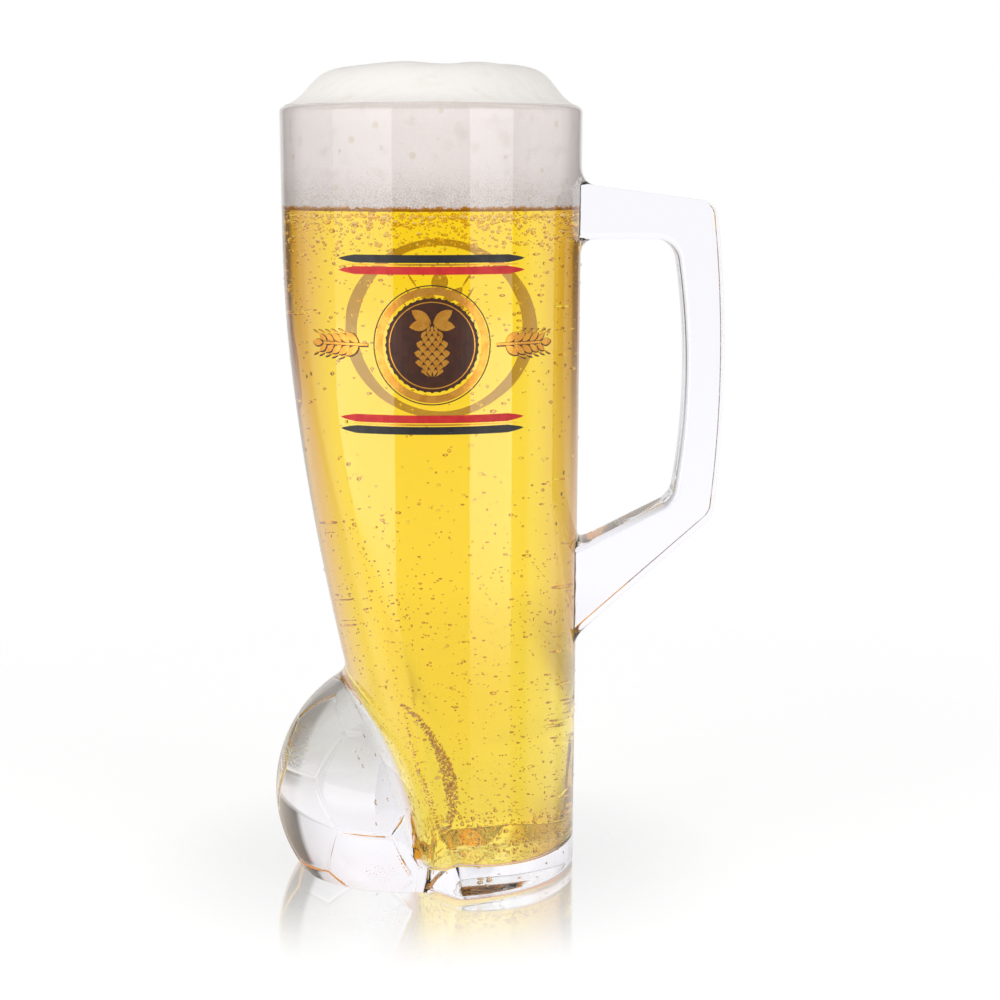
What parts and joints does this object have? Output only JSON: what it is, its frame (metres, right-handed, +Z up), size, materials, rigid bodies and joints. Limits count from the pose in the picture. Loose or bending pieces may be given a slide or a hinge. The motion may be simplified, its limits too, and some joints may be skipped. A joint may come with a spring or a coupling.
{
  "type": "beer mug",
  "caption": "Tall round glass beer mug with a flat-sided handle and a scooped foot that stands against a glass football, filled with beer under a foam head.",
  "frame": {"origin": "on the axis of the round body, on the flat underside of the foot", "axes": "+Z up along the body's axis, +X towards the handle, -X towards the football, -Y towards the viewer of the front print"},
  "size_m": [0.1162, 0.0774, 0.2074],
  "materials": {
    "body_glass": "clear polished soda-lime glass",
    "handle_glass": "clear polished soda-lime glass",
    "ball_glass": "clear glass with engraved seams and lightly stippled panels",
    "beer": "clear golden liquid with rising bubbles",
    "foam": "fine off-white foam",
    "gold_enamel": "fired gold print",
    "brown_enamel": "fired dark brown print",
    "red_enamel": "fired red print",
    "black_enamel": "fired black print",
    "amber_enamel": "fired amber print"
  },
  "bodies": {
    "root": {"mug_body": "body_glass", "handle": "handle_glass", "football": "ball_glass", "beer": "beer", "foam_head": "foam", "print_medallion": "brown_enamel", "print_ring": "gold_enamel", "print_ear_left": "gold_enamel", "print_ear_right": "gold_enamel", "print_stripe_red_upper": "red_enamel", "print_stripe_red_lower": "red_enamel", "print_stripe_black_upper": "black_enamel", "print_stripe_black_lower": "black_enamel", "print_back_oval": "amber_enamel", "print_back_ear": "amber_enamel"}
  },
  "joints": []
}
